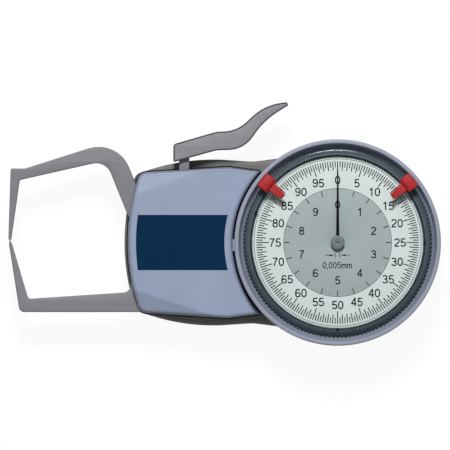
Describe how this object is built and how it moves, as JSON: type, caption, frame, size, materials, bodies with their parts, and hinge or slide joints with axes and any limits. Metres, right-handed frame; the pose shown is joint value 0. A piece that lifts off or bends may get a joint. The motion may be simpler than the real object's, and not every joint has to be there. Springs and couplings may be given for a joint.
{
  "type": "dial caliper gauge",
  "caption": "Dial caliper gauge with a fixed and a pivoting pointed arm, a finger lever that opens them, a round turning dial with red limit markers and a sealed gear movement.",
  "frame": {"origin": "on the dial axis in the plane of the flat back", "axes": "+Z out of the dial, -X towards the measuring tips, +Y towards the finger lever"},
  "size_m": [0.1316, 0.0742, 0.025],
  "materials": {
    "housing_grey": "moulded dark grey plastic, fine grain",
    "case_blue": "moulded grey-blue plastic, satin",
    "seal_rubber": "black rubber",
    "plate_navy": "bare printed navy film",
    "arm_steel": "grey coated steel",
    "lever_grey": "grey coated cast metal",
    "screw_steel": "plain steel",
    "spring_steel": "hard drawn wire",
    "arbor_steel": "ground steel",
    "movement_brass": "turned brass",
    "hand_black": "black lacquer",
    "boss_grey": "grey lacquer",
    "bezel_black": "moulded black plastic",
    "crystal_clear": "clear",
    "dial_white": "matt printed",
    "marker_red": "moulded red plastic"
  },
  "bodies": {
    "case": {"rear_housing": "housing_grey", "cover_gasket": "seal_rubber", "front_cover": "case_blue", "name_plate": "plate_navy", "dial_collar": "case_blue", "bezel_seal": "seal_rubber", "housing_screws": "screw_steel", "collar_screws": "screw_steel", "fixed_arm": "arm_steel", "fixed_arm_screws": "screw_steel", "movement_plate": "movement_brass", "movement_screws": "screw_steel", "movement_bridge": "movement_brass", "pillars": "movement_brass", "bridge_screws": "screw_steel", "rear_arm_bush": "movement_brass", "front_arm_bush": "movement_brass", "stop_pin": "screw_steel", "spring_pin": "screw_steel", "return_spring": "spring_steel", "transfer_stud": "screw_steel", "hairspring_stud": "screw_steel", "hairspring": "spring_steel"},
    "arm": {"movable_arm": "arm_steel", "arm_shaft": "arbor_steel", "shaft_sleeve": "arbor_steel", "gear_sector": "movement_brass", "finger_lever": "lever_grey", "lever_screws": "screw_steel"},
    "first_gear": {"first_arbor": "arbor_steel", "first_wheel": "movement_brass"},
    "second_gear": {"second_arbor": "arbor_steel", "second_wheel": "movement_brass"},
    "centre": {"centre_arbor": "arbor_steel", "cannon_pinion": "movement_brass", "long_hand": "hand_black", "hand_boss": "boss_grey"},
    "take_up": {"take_up_arbor": "arbor_steel", "take_up_wheel": "movement_brass"},
    "transfer": {"transfer_pinion": "movement_brass", "transfer_wheel": "movement_brass"},
    "short": {"short_hand_wheel": "movement_brass", "short_hand": "hand_black"},
    "bezel": {"bezel_ring": "bezel_black", "crystal": "crystal_clear", "dial_face": "dial_white"},
    "marker_left": {"left_marker": "marker_red"},
    "marker_right": {"right_marker": "marker_red"}
  },
  "joints": [
    {"name": "arm_open", "type": "hinge", "parent": "case", "child": "arm", "pos_m": [-0.04, 0, 0.008], "axis": [0, 0, -1], "range_deg": [0, 9.6], "stiffness_Nm_per_rad": 0.12, "springref_deg": -28.65, "deforming": ["return_spring"]},
    {"name": "first_gear_turn", "type": "hinge", "parent": "case", "child": "first_gear", "pos_m": [-0.012, 0, 0.008], "axis": [0, 0, -1], "range_deg": [0, 144]},
    {"name": "second_gear_turn", "type": "hinge", "parent": "case", "child": "second_gear", "pos_m": [-0.006, 0.00671, 0.008], "axis": [0, 0, -1], "range_deg": [-720, 0]},
    {"name": "long_hand_turn", "type": "hinge", "parent": "case", "child": "centre", "pos_m": [0, 0, 0.008], "axis": [0, 0, -1], "range_deg": [0, 3600]},
    {"name": "take_up_turn", "type": "hinge", "parent": "case", "child": "take_up", "pos_m": [0.006, -0.00671, 0.008], "axis": [0, 0, -1], "range_deg": [-720, 0], "deforming": ["hairspring"]},
    {"name": "transfer_turn", "type": "hinge", "parent": "case", "child": "transfer", "pos_m": [0, -0.0063, 0.008], "axis": [0, 0, -1], "range_deg": [-1440, 0]},
    {"name": "short_hand_turn", "type": "hinge", "parent": "case", "child": "short", "pos_m": [0, 0, 0.008], "axis": [0, 0, -1], "range_deg": [0, 360]},
    {"name": "bezel_turn", "type": "hinge", "parent": "case", "child": "bezel", "pos_m": [0, 0, 0.018], "axis": [0, 0, 1], "continuous": true},
    {"name": "left_marker_turn", "type": "hinge", "parent": "bezel", "child": "marker_left", "pos_m": [0, 0, 0.023], "axis": [0, 0, 1], "range_deg": [-43, 121]},
    {"name": "right_marker_turn", "type": "hinge", "parent": "bezel", "child": "marker_right", "pos_m": [0, 0, 0.023], "axis": [0, 0, 1], "range_deg": [-121, 43]}
  ],
  "couplings": [
    {"joint": "first_gear_turn", "follows": "arm_open", "ratio": 15},
    {"joint": "second_gear_turn", "follows": "arm_open", "ratio": -75},
    {"joint": "long_hand_turn", "follows": "arm_open", "ratio": 375},
    {"joint": "take_up_turn", "follows": "arm_open", "ratio": -75},
    {"joint": "transfer_turn", "follows": "arm_open", "ratio": -150},
    {"joint": "short_hand_turn", "follows": "arm_open", "ratio": 37.5}
  ]
}
